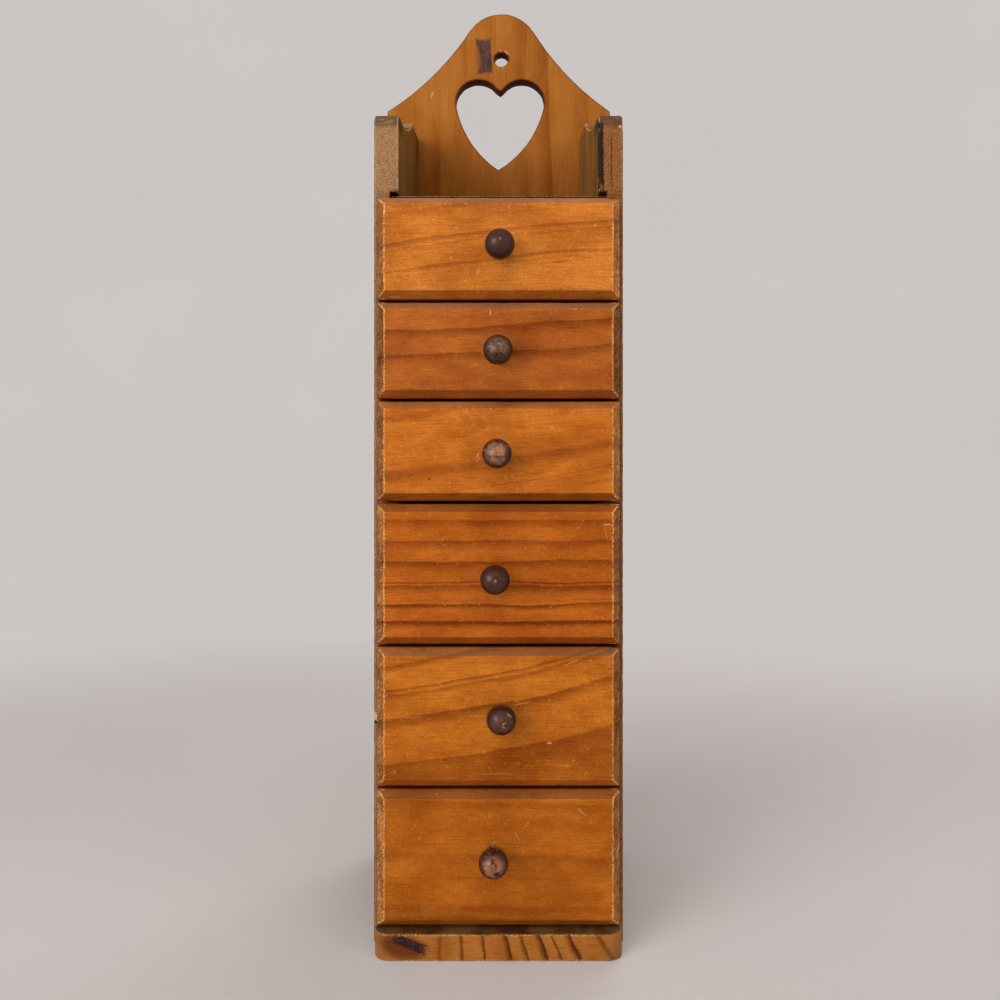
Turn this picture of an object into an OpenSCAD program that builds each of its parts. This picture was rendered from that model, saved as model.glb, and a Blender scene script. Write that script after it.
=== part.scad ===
// Spice cabinet: a narrow pine case with six drawers in one column, an open tray above them,
// scrolled sides and a tall crest with a heart cut-out and a hang hole. Drawers count from the bottom.
// The front faces -Y, the wall is at +Y, and Z is up from the surface that it stands on.

/* [Case] */
// Width across the outer faces of the two side boards
case_w = 116; // [100:0.5:150]
// Depth of the side boards, front edge to back board
case_depth = 98; // [70:0.5:140]
// Thickness of the side boards
side_t = 11.5; // [9:0.5:14]
// Thickness of the back board
back_t = 8; // [6:0.5:12]
// How far the back board stands out past each side board
back_overhang = 6.5; // [1:0.5:15]

/* [Base] */
// Thickness of the base board
base_t = 12; // [9:0.5:16]
// How far the lip of the base reaches in front of the side boards
base_lip = 16.5; // [13:0.5:22]
// How far the lip stops short of the outer face of each side board
base_lip_inset = 2; // [0:0.5:5]
// Radius of the two front corners of the lip
base_corner_r = 7; // [2:0.5:10]

/* [Bays] */
// Clear height of the lowest bay
bay_1_h = 63.5; // [36:0.5:90]
// Clear height of the second bay
bay_2_h = 61.5; // [36:0.5:90]
// Clear height of the third bay
bay_3_h = 62; // [36:0.5:90]
// Clear height of the fourth bay
bay_4_h = 43.5; // [36:0.5:90]
// Clear height of the fifth bay
bay_5_h = 42; // [36:0.5:90]
// Clear height of the top bay
bay_6_h = 45.5; // [36:0.5:90]

/* [Shelves] */
// Thickness of the hardboard shelves
shelf_t = 3; // [2:0.25:4]
// Depth of the shelf grooves in the side boards
dado_depth = 4.2; // [2.5:0.1:5]
// Height that a groove has to spare above its shelf
dado_play = 1.5; // [0.2:0.1:2.5]
// Gap between the end of a shelf and the bottom of its groove
shelf_end_gap = 0.8; // [0.2:0.1:1.5]
// How far the shelves stop behind the front edges of the sides
shelf_setback = 2; // [0:0.5:10]

/* [Scrolled side tops] */
// Height of the side boards above the top shelf, at the back
tray_h = 67; // [50:0.5:110]
// Distance of the scroll's point from the back edge
cusp_run = 32; // [15:0.5:40]
// Drop from the back edge to the scroll's point
cusp_drop = 5; // [0:0.5:12]
// Slope of the hollow where it meets the point, in degrees
cusp_slope = 35.5; // [30:0.5:40]
// Radius of the hollow
hollow_r = 128; // [115:1:150]
// Radius of the nose that rounds the front corner
nose_r = 7; // [4:0.5:9]

/* [Crest] */
// Rise of the back board's shoulders above the side boards
shoulder_rise = 16; // [8:0.5:30]
// Rise of the crest above the shoulders
crest_rise = 56.5; // [50:0.5:66]
// Distance of the crest's head and hang hole to the right of the board's middle
crest_shift = 1.5; // [-3:0.1:3]
// Radius of the round head of the crest
crest_r = 22; // [16:0.5:26]
// Radius of the hollow flanks of the crest
flank_r = 160; // [120:1:220]
// Diameter of the hang hole
hang_hole_d = 8.2; // [5:0.1:10]
// Distance of the hang hole below the top
hang_hole_drop = 26.2; // [20:0.1:28]

/* [Heart cut-out] */
// Distance of the point between the heart's lobe centres below the top
heart_drop = 51.1; // [50:0.1:60]
// Distance of that point to the right of the board's middle
heart_shift = 0.8; // [-3:0.1:3]
// Lean of the line from the heart's tip to its upper point, to the right, in degrees
heart_lean = 1.7; // [-5:0.1:5]
// Radius of the two lobes
heart_lobe_r = 13; // [11:0.1:14]
// Distance of each lobe's centre from the heart's middle
heart_lobe_shift = 12.6; // [9:0.1:13]
// Rise of the upper point above the place where the lobes' circles cross
heart_point_rise = 2.9; // [0.5:0.1:8]
// Distance from the lobe centres down to the tip
heart_tip = 39.2; // [32:0.1:44]
// Radius of the two flanks that meet in the tip
heart_flank_r = 57; // [44:0.5:90]

/* [Drawer fronts] */
// Thickness of a front's rim
front_t = 12; // [8:0.5:14]
// How far a front stops short of the outer face of each side board
front_inset = 2.75; // [0:0.25:5]
// How far a front hangs below the floor of its bay
front_drop = 2.5; // [1:0.1:4]
// Gap between one front and the next
front_reveal = 1.4; // [0.8:0.1:3]
// Gap between the lowest front and the base board
base_reveal = 0.8; // [0.4:0.1:2]
// Gap between the top front and the underside of the top shelf
top_reveal = 1.8; // [0.5:0.1:4]
// Width of the bevel around the face
bevel_w = 3.5; // [1:0.25:6]
// Depth of the bevel
bevel_d = 3; // [1:0.25:5]
// Gap between a closed front and the side boards
front_stand_off = 0.3; // [0.1:0.1:1]

/* [Drawer boxes] */
// Thickness of the box sides
box_side_t = 6; // [4.5:0.25:9]
// Thickness of the box back
box_back_t = 6; // [4.5:0.25:9]
// Thickness of the front's tongue behind its rim
tongue_t = 6; // [4.5:0.25:9]
// Thickness of the hardboard bottom
bottom_t = 3; // [2:0.25:4]
// Height of the bottom above the lower edge of the box
bottom_up = 3; // [2:0.25:6]
// Depth of the grooves that hold the bottom
groove_depth = 2.5; // [1.5:0.25:3.5]
// Gap around the bottom in its grooves
groove_play = 0.2; // [0.1:0.05:0.4]
// Gap between the box and each side board
run_side = 0.8; // [0.3:0.1:1.5]
// Gap between the box and the floor of its bay
run_floor = 0.3; // [0.2:0.1:0.8]
// Gap above the box
run_top = 1.5; // [0.5:0.1:3]
// Gap between the box and the back board
run_back = 3; // [1:0.5:10]

/* [Knobs] */
// Diameter of the ball
knob_d = 13.2; // [10:0.1:14]
// Reach of the knob in front of the drawer front
knob_reach = 15.5; // [15:0.1:20]
// Diameter of the neck
neck_d = 7; // [6:0.1:8]
// Diameter of the foot that sits on the drawer front
foot_d = 9; // [8.5:0.1:9.8]
// Thickness of the foot
foot_t = 1.2; // [0.8:0.1:2]
// Diameter of the tenon in the drawer front
tenon_d = 5; // [3:0.1:5.5]
// Length of the tenon
tenon_l = 9; // [4:0.5:12]
// Gap around the tenon in its hole
tenon_play = 0.05; // [0.03:0.01:0.15]

/* [Brads] */
// Diameter of the case's brads
case_brad_d = 1.6; // [1.2:0.1:1.8]
// How far a case brad is driven into the second board
case_brad_grip = 13; // [8:0.5:16]
// Brads along each back edge of the sides
case_brad_rows = 4; // [2:1:6]
// Distance of the end brads from the ends of the sides
case_brad_end = 32; // [20:1:60]
// Diameter of the drawers' brads
box_brad_d = 1.2; // [0.9:0.1:1.4]
// How far a drawer brad is driven into the second board
box_brad_grip = 9; // [6:0.5:11]
// Gap around a brad in its hole
brad_play = 0.03; // [0.02:0.01:0.08]

/* [Hidden] */
$fn = 96;
// Extra length that takes a cut clear through a face
past = 1;
pine = "#b06a2c";
dark_pine = "#9a5c28";
hardboard = "#6f5c49";
walnut = "#3f2a22";
steel = "#8d8a84";

// Heights: each bay stands on the shelf below it
bay_h = [bay_1_h, bay_2_h, bay_3_h, bay_4_h, bay_5_h, bay_6_h];
bays = len(bay_h);
// Floor of bay n, where bays + 1 is the floor of the open tray
function floor_z(n) = n == 1 ? base_t : floor_z(n - 1) + bay_h[n - 2] + shelf_t;
side_h = floor_z(bays + 1) + tray_h;
shoulder_h = side_h + shoulder_rise;
total_h = shoulder_h + crest_rise;

// Depths: the origin is under the middle of the whole object, knobs included
front_reach = front_stand_off + front_t + knob_reach;
case_front = front_reach - (front_reach + case_depth + back_t) / 2;
case_back = case_front + case_depth;

// Widths
inner_w = case_w - 2 * side_t;
back_w = case_w + 2 * back_overhang;
shelf_w = inner_w + 2 * (dado_depth - shelf_end_gap);
front_w = case_w - 2 * front_inset;
box_w = inner_w - 2 * run_side;
box_inner_w = box_w - 2 * box_side_t;
box_l = case_depth - run_back;

// Knob places on the fronts, sideways and up from the middle of each face, set by hand
knob_shift = [[-2.2, 2.1], [1.3, 1.4], [-1.5, -1.6], [-0.7, -1.7], [-0.2, -1.7], [0.6, -1.4]];

PIECES = ["front", "left", "right", "back", "bottom", "knob", "brads"];

// One of the two points where circles about a and b cross, on the left of the way from a to b or,
// with hand -1, on its right
function crossing(a, ra, b, rb, hand) =
    let (
        apart = norm(b - a),
        u = (b - a) / apart,
        along = (ra * ra - rb * rb + apart * apart) / (2 * apart),
        aside = sqrt(max(0, ra * ra - along * along))
    )
    a + along * u + hand * aside * [-u[1], u[0]];

// Turns the children's Z axis to the direction v
module facing(v) {
    rotate([0, acos(v[2]), atan2(v[1], v[0])]) children();
}

// A box between two corners
module block(low, high) {
    translate(low) cube(high - low);
}

// Round pins from a list of [head, direction], longer and wider by play for their holes
module pins(spots, d, l, play = 0) {
    for (spot = spots)
        translate(spot[0]) facing(spot[1])
            translate([0, 0, play > 0 ? -past : 0])
                cylinder(d = d + 2 * play, h = l + (play > 0 ? past + play : 0), $fn = 24);
}

// Case

// Where the case's brads go in: through the back into the sides and the base, and through the sides
// into the base
case_brad_x = (case_w - side_t) / 2;
case_brad_step = (side_h - 2 * case_brad_end) / (case_brad_rows - 1);
back_brads = concat(
    [for (s = [-1, 1]) for (i = [0:case_brad_rows - 1])
        [[s * case_brad_x, case_back + back_t, case_brad_end + i * case_brad_step], [0, -1, 0]]],
    [for (s = [-1, 1]) [[s * inner_w / 4, case_back + back_t, base_t / 2], [0, -1, 0]]]
);
side_brads = [for (s = [-1, 1]) for (share = [0.25, 0.75])
    [[s * case_w / 2, case_front + share * case_depth, base_t / 2], [-s, 0, 0]]];

module case_brad_set(play = 0) {
    pins(back_brads, case_brad_d, back_t + case_brad_grip, play);
    pins(side_brads, case_brad_d, side_t + case_brad_grip, play);
}

module case_brads() {
    color(steel) case_brad_set();
}

// Outline of a side board, front edge at the left: nose, hollow, point and straight rise to the back
module side_outline() {
    point = [case_depth - cusp_run, side_h - cusp_drop];
    hollow = point + hollow_r * [-sin(cusp_slope), cos(cusp_slope)];
    nose = [nose_r, hollow[1] - sqrt(pow(hollow_r + nose_r, 2) - pow(hollow[0] - nose_r, 2))];
    touch = nose + nose_r * (hollow - nose) / norm(hollow - nose);
    difference() {
        polygon([[touch[0], 0], [case_depth, 0], [case_depth, side_h], point, touch]);
        translate(hollow) circle(hollow_r, $fn = 360);
    }
    intersection() {
        union() {
            translate(nose) circle(nose_r);
            square([2 * nose_r, nose[1]]);
        }
        square([touch[0], side_h]);
    }
}

// A side board with its inner face at x = 0, ready to be mirrored for the other hand
module side_board() {
    difference() {
        translate([0, case_front, 0]) rotate([90, 0, 90]) linear_extrude(side_t) side_outline();
        for (n = [2:bays + 1])
            block([-past, case_front - past, floor_z(n) - shelf_t],
                  [dado_depth, case_back + past, floor_z(n) + dado_play]);
    }
}

module left_side() {
    color(dark_pine) difference() {
        translate([-inner_w / 2, 0, 0]) mirror([1, 0, 0]) side_board();
        case_brad_set(brad_play);
    }
}

module right_side() {
    color(dark_pine) difference() {
        translate([inner_w / 2, 0, 0]) side_board();
        case_brad_set(brad_play);
    }
}

// Heart, centred between its lobes: straight cuts run from the upper point into the lobes, and round flanks
// from the lobes to the tip
module heart_outline() {
    cross_h = sqrt(max(0, heart_lobe_r ^ 2 - heart_lobe_shift ^ 2));
    lean = [tan(heart_lean), 1];
    point = (cross_h + heart_point_rise) * lean;
    tip = -heart_tip * lean;
    lobes = [for (s = [-1, 1]) [s * heart_lobe_shift, 0]];
    hands = [1, -1];
    flank_way = heart_flank_r - heart_lobe_r;
    flanks = [for (i = [0, 1]) crossing(lobes[i], flank_way, tip, heart_flank_r, hands[i])];
    touches = [for (i = [0, 1]) lobes[i] + heart_lobe_r * (lobes[i] - flanks[i]) / flank_way];
    cut_l = [for (lobe = lobes) sqrt(max(0, norm(point - lobe) ^ 2 - heart_lobe_r ^ 2))];
    cut_r = 0.97 * heart_lobe_r;
    cuts = [for (i = [0, 1]) crossing(lobes[i], cut_r, point, cut_l[i], hands[i])];
    below = [0, -heart_lobe_r / 2];
    for (lobe = lobes)
        translate(lobe) circle(heart_lobe_r);
    polygon([point, cuts[1], lobes[1] + below, lobes[0] + below, cuts[0]]);
    intersection() {
        translate(flanks[0]) circle(heart_flank_r, $fn = 240);
        translate(flanks[1]) circle(heart_flank_r, $fn = 240);
        polygon([touches[0], touches[1], [touches[1][0], tip[1]], [touches[0][0], tip[1]]]);
    }
}

// Back board from the front: straight sides, a hollow flank from each shoulder and a round head
module back_outline() {
    head = [crest_shift, total_h - crest_r];
    shoulders = [for (s = [-1, 1]) [s * back_w / 2, shoulder_h]];
    flanks = [for (i = [0, 1]) crossing(head, crest_r + flank_r, shoulders[i], flank_r, 2 * i - 1)];
    touches = [for (flank = flanks) head + crest_r * (flank - head) / norm(flank - head)];
    chord = touches[1] - touches[0];
    left = touches[0] - chord;
    right = touches[1] + chord;
    above = [0, 2 * crest_r];
    translate([-back_w / 2, 0]) square([back_w, shoulder_h]);
    difference() {
        polygon([shoulders[0], shoulders[1], touches[1], touches[0]]);
        for (flank = flanks)
            translate(flank) circle(flank_r, $fn = 360);
    }
    intersection() {
        translate(head) circle(crest_r);
        polygon([left, right, right + above, left + above]);
    }
}

module back_board() {
    color(pine) difference() {
        translate([0, case_back + back_t, 0]) rotate([90, 0, 0]) linear_extrude(back_t) difference() {
            back_outline();
            translate([heart_shift, total_h - heart_drop]) heart_outline();
        }
        translate([crest_shift, case_back - past, total_h - hang_hole_drop]) rotate([-90, 0, 0])
            cylinder(d = hang_hole_d, h = back_t + 2 * past);
        case_brad_set(brad_play);
    }
}

// Base board: fills the case between the sides, with a wider round-cornered lip in front
module base_board() {
    lip_w = case_w - 2 * base_lip_inset;
    lip_front = case_front - base_lip;
    color(dark_pine) difference() {
        linear_extrude(base_t) {
            translate([-inner_w / 2, case_front]) square([inner_w, case_depth]);
            translate([-lip_w / 2, lip_front + base_corner_r]) square([lip_w, base_lip - base_corner_r]);
            translate([base_corner_r - lip_w / 2, lip_front])
                square([lip_w - 2 * base_corner_r, base_lip]);
            for (s = [-1, 1])
                translate([s * (lip_w / 2 - base_corner_r), lip_front + base_corner_r])
                    circle(base_corner_r);
        }
        case_brad_set(brad_play);
    }
}

// The shelf under floor n
module shelf(n) {
    color(hardboard)
        block([-shelf_w / 2, case_front + shelf_setback, floor_z(n) - shelf_t],
              [shelf_w / 2, case_back, floor_z(n)]);
}

// Drawers

// Lower and upper edges of front n, and of box n
function front_low(n) = n == 1 ? base_t + base_reveal : floor_z(n) - front_drop;
function front_high(n) = floor_z(n + 1) - (n == bays ? shelf_t + top_reveal : front_drop + front_reveal);
function box_low(n) = floor_z(n) + run_floor;
function box_high(n) = floor_z(n) + bay_h[n - 1] - run_top;
function bottom_low(n) = box_low(n) + bottom_up;
box_front = case_front - front_stand_off;
box_back = box_front + box_l;

// Where the brads of box n go in: two at each corner, and two up through the bottom into the back
function corner_brads(n) = [for (s = [-1, 1]) for (y = [box_front + tongue_t / 2, box_back - box_back_t / 2])
    for (share = [0.35, 0.8])
        [[s * box_w / 2, y, box_low(n) + share * (box_high(n) - box_low(n))], [-s, 0, 0]]];
function bottom_brads(n) = [for (s = [-1, 1])
    [[s * box_inner_w / 4, box_back - box_back_t / 2, bottom_low(n)], [0, 0, 1]]];

module box_brad_set(n, play = 0) {
    pins(corner_brads(n), box_brad_d, box_side_t + box_brad_grip, play);
    pins(bottom_brads(n), box_brad_d, bottom_t + box_brad_grip, play);
}

module drawer_brads(n) {
    color(steel) box_brad_set(n);
}

// Room that the bottom of drawer n takes up, widened by play for its grooves
module bottom_room(n, play) {
    half_w = box_inner_w / 2 + groove_depth - groove_play + play;
    block([-half_w, box_front + tongue_t - groove_depth + groove_play - play, bottom_low(n) - play],
          [half_w, box_back + (play > 0 ? past : 0), bottom_low(n) + bottom_t + play]);
}

module drawer_bottom(n) {
    color(hardboard) difference() {
        bottom_room(n, 0);
        box_brad_set(n, brad_play);
    }
}

// Half of a bevelled rim's outline, thickness along Y with the back at 0, for a rim of size w
module rim_outline(w) {
    polygon([[-w / 2, 0], [w / 2, 0], [w / 2, bevel_d - front_t], [w / 2 - bevel_w, -front_t],
             [bevel_w - w / 2, -front_t], [-w / 2, bevel_d - front_t]]);
}

function knob_spot(n) = [knob_shift[n - 1][0], box_front - front_t,
                         (front_low(n) + front_high(n)) / 2 + knob_shift[n - 1][1]];

// The rim is where two bevelled bars cross, so the bevels meet in mitres
module drawer_front(n) {
    h = front_high(n) - front_low(n);
    color(pine) difference() {
        union() {
            translate([0, box_front, (front_low(n) + front_high(n)) / 2]) intersection() {
                translate([0, 0, -h / 2]) linear_extrude(h) rim_outline(front_w);
                translate([-front_w / 2, 0, 0]) rotate([0, 90, 0]) linear_extrude(front_w) rim_outline(h);
            }
            block([-box_inner_w / 2, box_front - past, max(box_low(n), front_low(n))],
                  [box_inner_w / 2, box_front + tongue_t, min(box_high(n), front_high(n))]);
        }
        bottom_room(n, groove_play);
        translate(knob_spot(n)) facing([0, 1, 0]) translate([0, 0, -past])
            cylinder(d = tenon_d + 2 * tenon_play, h = tenon_l + past + tenon_play, $fn = 32);
        box_brad_set(n, brad_play);
    }
}

// A box side, on the left with s = -1 and on the right with s = 1
module box_side(n, s) {
    outer = s * box_w / 2;
    inner = s * box_inner_w / 2;
    color(dark_pine) difference() {
        block([min(outer, inner), box_front, box_low(n)], [max(outer, inner), box_back, box_high(n)]);
        bottom_room(n, groove_play);
        box_brad_set(n, brad_play);
    }
}

module drawer_left(n) { box_side(n, -1); }

module drawer_right(n) { box_side(n, 1); }

// The back stands on the bottom, which slides in under it
module drawer_back(n) {
    color(dark_pine) difference() {
        block([-box_inner_w / 2, box_back - box_back_t, bottom_low(n) + bottom_t],
              [box_inner_w / 2, box_back, box_high(n)]);
        box_brad_set(n, brad_play);
    }
}

// Half outline of a turned knob along its axis: tenon, foot, coved neck and ball
module knob_outline() {
    ball_r = knob_d / 2;
    foot_r = foot_d / 2;
    centre = knob_reach - ball_r;
    cove_r = (centre - sqrt(ball_r * ball_r - foot_r * foot_r) - foot_t) / 2;
    translate([0, -tenon_l]) square([tenon_d / 2, tenon_l]);
    difference() {
        square([foot_r, centre]);
        translate([neck_d / 2 + cove_r, foot_t + cove_r]) circle(cove_r, $fn = 48);
    }
    translate([0, centre]) intersection() {
        circle(ball_r);
        translate([0, -ball_r]) square([ball_r, knob_d]);
    }
}

module drawer_knob(n) {
    color(walnut) translate(knob_spot(n)) facing([0, -1, 0]) rotate_extrude() knob_outline();
}

back_board();
left_side();
right_side();
base_board();
for (n = [1:bays - 1])
    shelf(n + 1);
shelf(bays + 1);  // top_shelf
case_brads();
for (n = [1:bays]) {
    drawer_front(n);
    drawer_left(n);
    drawer_right(n);
    drawer_back(n);
    drawer_bottom(n);
    drawer_knob(n);
    drawer_brads(n);
}
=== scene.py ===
# Looks of a stained-pine spice cabinet: a column of six drawers, an open tray, scrolled sides and a crest.

import math
from collections import namedtuple

import bmesh
import bpy
from mathutils import Matrix, Vector, noise


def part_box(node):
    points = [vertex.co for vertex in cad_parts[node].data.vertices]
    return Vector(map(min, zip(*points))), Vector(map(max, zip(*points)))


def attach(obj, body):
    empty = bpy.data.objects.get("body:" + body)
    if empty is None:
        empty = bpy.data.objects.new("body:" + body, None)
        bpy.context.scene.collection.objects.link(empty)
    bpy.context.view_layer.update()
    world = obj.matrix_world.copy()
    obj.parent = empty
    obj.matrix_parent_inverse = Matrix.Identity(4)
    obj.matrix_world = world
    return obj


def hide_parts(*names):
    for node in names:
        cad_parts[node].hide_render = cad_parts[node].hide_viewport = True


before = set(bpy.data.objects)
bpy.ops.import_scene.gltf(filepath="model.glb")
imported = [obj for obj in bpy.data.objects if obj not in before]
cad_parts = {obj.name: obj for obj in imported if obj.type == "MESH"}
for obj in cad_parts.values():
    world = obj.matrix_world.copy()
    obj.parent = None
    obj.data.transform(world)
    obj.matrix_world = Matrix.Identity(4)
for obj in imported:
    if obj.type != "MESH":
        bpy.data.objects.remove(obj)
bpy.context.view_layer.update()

MM = 0.001
X, Y, Z = range(3)
DRAWERS = range(1, 7)

# Lengths under which corners join and short edges close, and the room round a nail, in millimetres
WELD = 0.02
SHORT_EDGE = 0.15
NAIL_ROOM = 0.1

# Faces that turn by less than the first angle are one flat, and by more than the second meet sharply
FLAT_ANGLE = math.radians(0.1)
SHARP_ANGLE = math.radians(24)

# Most cuts across one arris
MOST_CUTS = 400

# A face leaning more than this along the grain shows end grain
END_LEAN = 0.4

# Spread of noise patterns from each other, and a length past the object, in metres
SEED_SHIFT = 0.137
FAR = 10


# Node helpers

class Finish:
    """A material in the making. Each method adds nodes and returns an output. Lengths are in millimetres."""

    def __init__(self, name):
        self.material = bpy.data.materials.new(name)
        self.material.use_nodes = True
        self.tree = self.material.node_tree
        self.shader = self.tree.nodes["Principled BSDF"]
        self.place = self.tree.nodes.new("ShaderNodeTexCoord").outputs["Object"]

    def feed(self, socket, value):
        """Links value to a socket if it is another node's output, and otherwise sets it there."""
        if isinstance(value, bpy.types.NodeSocket):
            self.tree.links.new(value, socket)
        elif socket.type == "RGBA":
            socket.default_value = (*value, 1)
        else:
            socket.default_value = value

    def node(self, kind, inputs, **settings):
        made = self.tree.nodes.new("ShaderNode" + kind)
        for name, value in settings.items():
            setattr(made, name, value)
        for key, value in inputs.items():
            self.feed(made.inputs[key], value)
        return made

    def math(self, operation, *values):
        return self.node("Math", dict(enumerate(values)), operation=operation).outputs[0]

    def product(self, first, *others):
        for other in others:
            first = self.math("MULTIPLY", first, other)
        return first

    def mix(self, share, a, b, blend="MIX"):
        inputs = {0: share, 6: a, 7: b}
        return self.node("Mix", inputs, data_type="RGBA", blend_type=blend).outputs[2]

    def step(self, value, low, high):
        """0 below low, 1 above high and smooth between them. With low above high it falls instead."""
        inputs = {"Value": value, "From Min": low, "From Max": high}
        return self.node("MapRange", inputs, interpolation_type="SMOOTHSTEP").outputs[0]

    def noise(self, size, detail=2, rough=0.5, seed=0, turn=0):
        """Noise from 0 to 1 with lumps of about that size along each axis, turned by degrees about Y."""
        inputs = {
            "Vector": self.place,
            "Location": [seed * SEED_SHIFT] * 3,
            "Rotation": (0, math.radians(-turn), 0),
            "Scale": [s * MM for s in size],
        }
        steps = self.node("Mapping", inputs, vector_type="TEXTURE").outputs[0]
        inputs = {"Vector": steps, "Scale": 1, "Detail": detail, "Roughness": rough}
        return self.node("TexNoise", inputs).outputs[0]

    def hairs(self, size, width, seed=0):
        """Thin lines that wander like scratches and loose fibres, in broken stretches."""
        level = self.noise([size] * 3, detail=1, seed=seed)
        off_line = self.math("ABSOLUTE", self.math("SUBTRACT", level, 0.5))
        stretches = self.step(self.noise([size * 0.8] * 3, detail=1, seed=seed + 1), 0.52, 0.62)
        return self.product(self.step(off_line, width, 0), stretches)

    def attribute(self, name):
        return self.node("Attribute", {}, attribute_name=name).outputs["Fac"]

    def coordinate(self, axis):
        """One object coordinate in millimetres."""
        split = self.node("SeparateXYZ", {0: self.place})
        return self.math("MULTIPLY", split.outputs[axis], 1 / MM)

    def around(self, centre, size, turn):
        """Coordinates about a place (x, z) on a face that looks ahead, in half widths and half heights."""
        inputs = {
            "Vector": self.place,
            "Location": (centre[0] * MM, 0, centre[1] * MM),
            "Rotation": (0, math.radians(-turn), 0),
            "Scale": (size[0] * MM, FAR, size[1] * MM),
        }
        return self.node("Mapping", inputs, vector_type="TEXTURE").outputs[0]

    def spot(self, centre, size, turn=0.0):
        """A soft ellipse, 1 in its middle, turned by degrees."""
        around = self.around(centre, size, turn)
        return self.node("TexGradient", {0: around}, gradient_type="SPHERICAL").outputs[1]

    def patch(self, centre, size, turn=0.0, soft=0.2, ragged=0.3, seed=0):
        """A rectangle with soft and ragged edges, turned by degrees."""
        split = self.node("SeparateXYZ", {0: self.around(centre, size, turn)}).outputs
        reach = self.math("MAXIMUM", self.math("ABSOLUTE", split[X]), self.math("ABSOLUTE", split[Z]))
        wander = self.math("SUBTRACT", self.noise((2, 2, 2), detail=3, rough=0.6, seed=seed), 0.5)
        return self.step(self.math("MULTIPLY_ADD", wander, ragged * 2, reach), 1, 1 - soft)

    def lines(self, height, low, high, rings):
        """Darkness over a height. A ring is (height, strength, fade below it, fade above it), and may end in
        the strength that is left at the end of its lower fade."""
        stops = [(low, 0)]
        for ring, strength, below, above, *left in sorted(rings):
            stops += [(ring - below, sum(left)), (ring, strength), (ring + above, 0)]
        share = self.node("MapRange", {"Value": height, "From Min": low, "From Max": high}).outputs[0]
        made = self.node("ValToRGB", {"Fac": share})
        ramp = made.color_ramp
        ramp.interpolation = "EASE"
        ramp.elements.remove(ramp.elements[1])
        last = 0
        for place, value in stops:
            last = min(1, max(last + 0.0005, (place - low) / (high - low)))
            element = ramp.elements.new(last)
            element.color = (value, value, value, 1)
        return made.outputs[0]

    def bump(self, height, depth, strength=1.0):
        inputs = {"Height": height, "Distance": depth * MM, "Strength": strength}
        return self.node("Bump", inputs).outputs[0]

    def finish(self, colour, roughness, normal=None, **sockets):
        self.feed(self.shader.inputs["Base Color"], colour)
        self.feed(self.shader.inputs["Roughness"], roughness)
        if normal is not None:
            self.feed(self.shader.inputs["Normal"], normal)
        for name, value in sockets.items():
            self.feed(self.shader.inputs[name.replace("_", " ")], value)
        return self.material


def along_grain(axis, long, short):
    """Noise size that is long along the grain and short across it."""
    size = [short] * 3
    size[axis] = long
    return size


def brighter(colour, *scales):
    return [min(1, c * s) for c, s in zip(colour, scales)]


# Stained pine of the drawer fronts

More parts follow.
